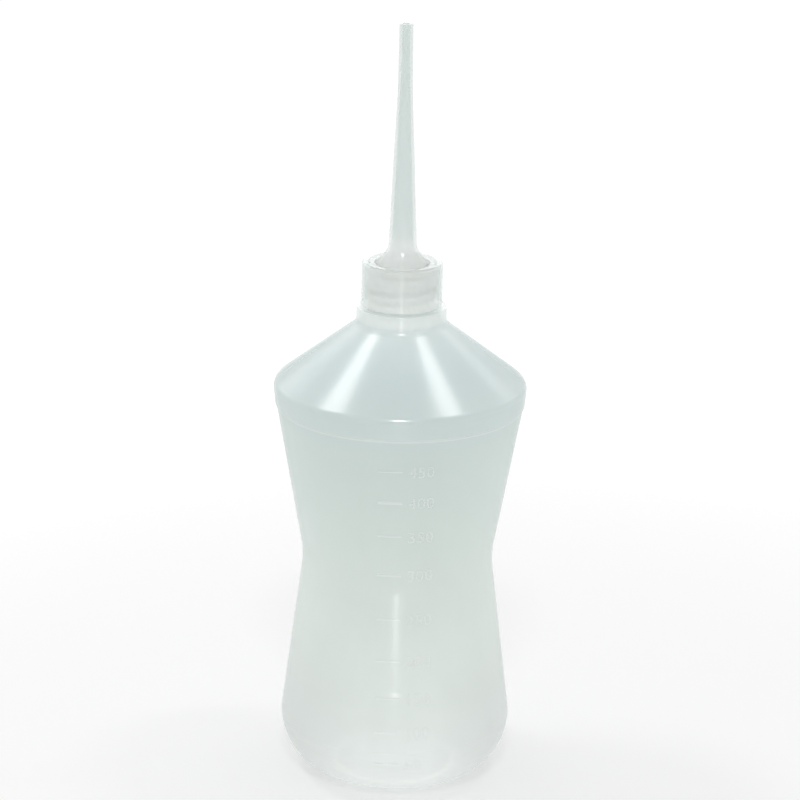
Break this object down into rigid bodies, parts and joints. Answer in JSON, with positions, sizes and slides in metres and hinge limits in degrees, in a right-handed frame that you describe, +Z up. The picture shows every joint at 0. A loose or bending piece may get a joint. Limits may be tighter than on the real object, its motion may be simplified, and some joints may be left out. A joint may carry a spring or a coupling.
{
  "type": "squeeze bottle",
  "caption": "Waisted translucent squeeze bottle with graduation marks, a screw collar and a long tapered dispensing nozzle.",
  "frame": {"origin": "centre of the standing ring, on the plane that the bottle stands on", "axes": "+Z up along the bottle's axis to the nozzle's tip, -Y towards the graduation marks"},
  "size_m": [0.0844, 0.0844, 0.2582],
  "materials": {
    "body_plastic": "satin, milky translucent polyethylene",
    "collar_plastic": "satin, milky translucent polyethylene",
    "nozzle_plastic": "satin, milky translucent polyethylene"
  },
  "bodies": {
    "bottle": {"bottle": "body_plastic"},
    "nozzle": {"nozzle": "nozzle_plastic"},
    "collar": {"screw_collar": "collar_plastic"}
  },
  "joints": [
    {"name": "nozzle_lift", "type": "slide", "parent": "bottle", "child": "nozzle", "axis": [0, 0, 1], "range_m": [0, 0.00651]},
    {"name": "collar_turn", "type": "hinge", "parent": "nozzle", "child": "collar", "pos_m": [0, 0, 0.172], "axis": [0, 0, 1], "range_deg": [0, 738]}
  ],
  "couplings": [
    {"joint": "nozzle_lift", "follows": "collar_turn", "m_per_rad": 0.00050532}
  ]
}
